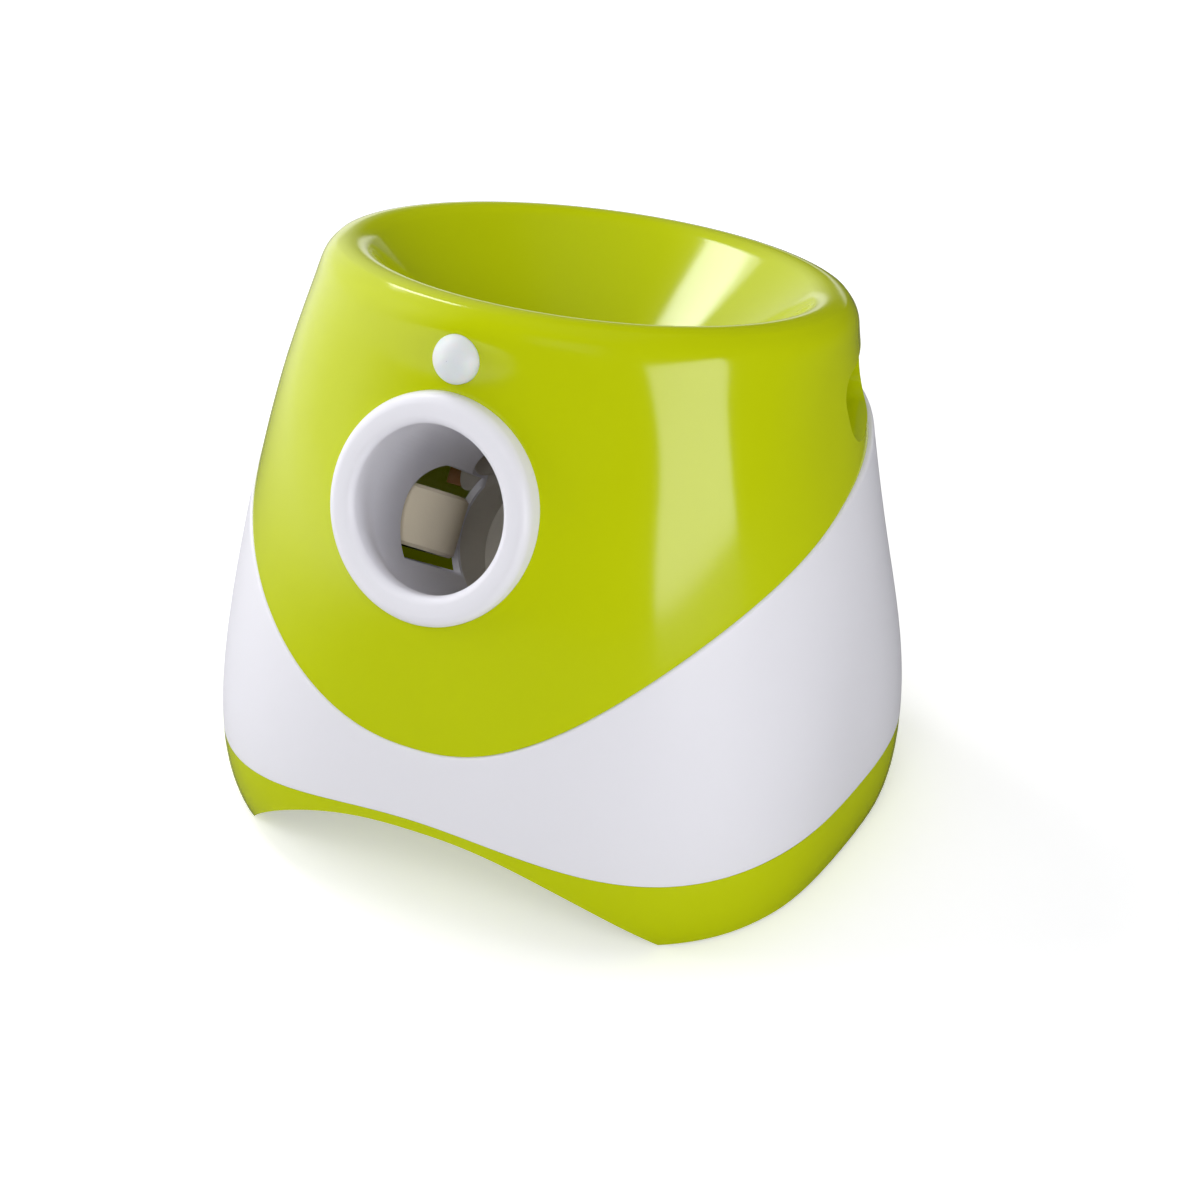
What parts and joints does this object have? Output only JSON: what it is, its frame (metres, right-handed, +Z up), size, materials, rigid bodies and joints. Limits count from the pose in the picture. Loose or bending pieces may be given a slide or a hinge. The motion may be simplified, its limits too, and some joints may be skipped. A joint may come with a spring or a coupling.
{
  "type": "automatic dog ball launcher",
  "caption": "Rounded ball launcher with an open hopper bowl, a tilted round mouth, a domed motion sensor, friction wheels, a feed gate and arched feet.",
  "frame": {"origin": "on the floor, under the middle of the outside size", "axes": "+Z up, the mouth faces -Y, +X is the machine's left as it faces the dog"},
  "size_m": [0.2417, 0.2261, 0.2232],
  "materials": {
    "lime_gloss": "glossy lime",
    "white_satin": "satin cool white",
    "black_rubber": "matt",
    "tread_rubber": "matt grey-beige foam",
    "steel": "plated",
    "motor_steel": "plated can",
    "cell_sleeve": "plain sleeve",
    "grey_plastic": "fine texture",
    "black_plastic": "fine texture",
    "amber_plastic": "smooth",
    "cream_plastic": "smooth acetal",
    "frosted_plastic": "frosted, translucent",
    "clear_plastic": "clear moulded",
    "board_green": "solder resist"
  },
  "bodies": {
    "case": {"top_shell": "lime_gloss", "lower_shell": "white_satin", "base_tray": "lime_gloss", "foot_pads": "black_rubber", "case_screws": "steel", "battery_door": "lime_gloss", "battery_door_screws": "steel", "battery_cells": "cell_sleeve", "battery_contacts": "steel", "launch_tube": "white_satin", "breech_cap": "grey_plastic", "feed_chute": "grey_plastic", "wheel_motor_left": "motor_steel", "wheel_motor_right": "motor_steel", "motor_screws": "steel", "gate_gear_motor": "motor_steel", "ball_sensors": "black_plastic", "sensor_lens": "frosted_plastic", "sensor_holder": "grey_plastic", "sensor_board": "board_green", "sensor_can": "steel", "control_panel": "grey_plastic", "light_pipes": "clear_plastic", "key_board": "board_green", "switches_and_lights": "black_plastic", "power_inlet": "black_plastic", "main_board": "board_green", "board_screws": "steel", "board_parts": "black_plastic", "buzzer": "black_plastic"},
    "wheel_left": {"wheel_hub_left": "black_plastic", "wheel_tyre_left": "tread_rubber", "wheel_shaft_left": "steel"},
    "wheel_right": {"wheel_hub_right": "black_plastic", "wheel_tyre_right": "tread_rubber", "wheel_shaft_right": "steel"},
    "gate": {"gate_disc": "amber_plastic", "gate_shaft": "steel", "gate_sector": "cream_plastic"},
    "pinion": {"gate_pinion": "cream_plastic"},
    "power_key": {"power_button": "lime_gloss"},
    "distance_key": {"distance_button": "white_satin"}
  },
  "joints": [
    {"name": "wheel_left_spin", "type": "hinge", "parent": "case", "child": "wheel_left", "pos_m": [-0.0493, -0.04329, 0.12037], "axis": [0, 0.5736, 0.8192], "continuous": true},
    {"name": "wheel_right_spin", "type": "hinge", "parent": "case", "child": "wheel_right", "pos_m": [0.0493, -0.04329, 0.12037], "axis": [0, 0.5736, 0.8192], "continuous": true},
    {"name": "gate_swing", "type": "hinge", "parent": "case", "child": "gate", "pos_m": [0.046, -0.0079, 0.13514], "axis": [0, -0.5736, -0.8192], "range_deg": [0, 75]},
    {"name": "pinion_turn", "type": "hinge", "parent": "case", "child": "pinion", "pos_m": [0.07328, 0.005, 0.12611], "axis": [0, -0.5736, -0.8192], "range_deg": [-190, 0]},
    {"name": "power_press", "type": "slide", "parent": "case", "child": "power_key", "axis": [0, -1, 0], "range_m": [0, 0.0015], "stiffness_N_per_m": 400},
    {"name": "distance_press", "type": "slide", "parent": "case", "child": "distance_key", "axis": [0, -1, 0], "range_m": [0, 0.0015], "stiffness_N_per_m": 400}
  ],
  "couplings": [
    {"joint": "wheel_right_spin", "follows": "wheel_left_spin", "ratio": -1},
    {"joint": "pinion_turn", "follows": "gate_swing", "ratio": -2.5}
  ]
}
